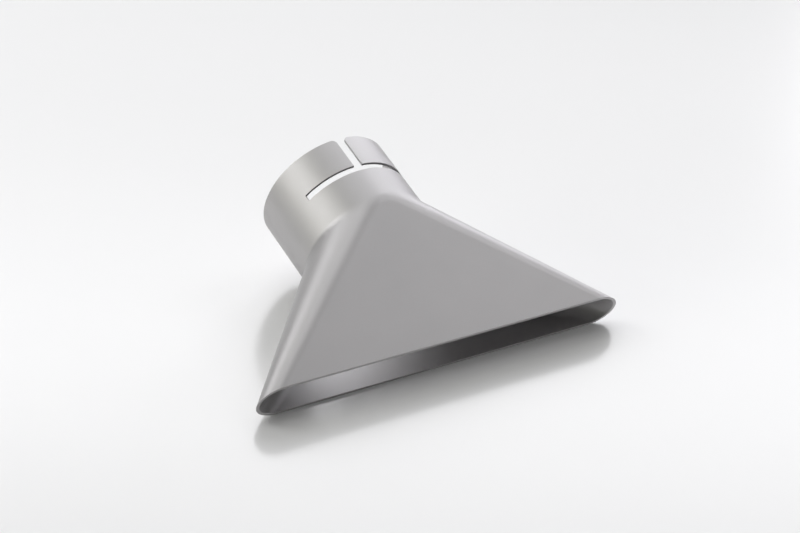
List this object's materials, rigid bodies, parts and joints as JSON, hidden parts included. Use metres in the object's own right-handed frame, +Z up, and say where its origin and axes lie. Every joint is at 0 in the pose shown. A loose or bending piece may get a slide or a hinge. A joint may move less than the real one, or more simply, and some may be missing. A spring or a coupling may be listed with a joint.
{
  "type": "wide slot nozzle",
  "caption": "Sheet-steel wide slot nozzle for a hot-air tool: a slit push-fit tube runs into a flattened, flared funnel with a long, narrow, round-ended mouth.",
  "frame": {"origin": "middle of the bounding box in plan, on the plane the nozzle rests on", "axes": "+X along the width of the mouth, +Y from the mouth towards the tube's rim, +Z up; the lower flat face lies in the plane z = 0, so the tube's axis rises towards +Y by 18.7 degrees"},
  "size_m": [0.156, 0.0936, 0.0594],
  "materials": {
    "steel": "satin"
  },
  "bodies": {
    "root": {"nozzle": "steel"}
  },
  "joints": []
}
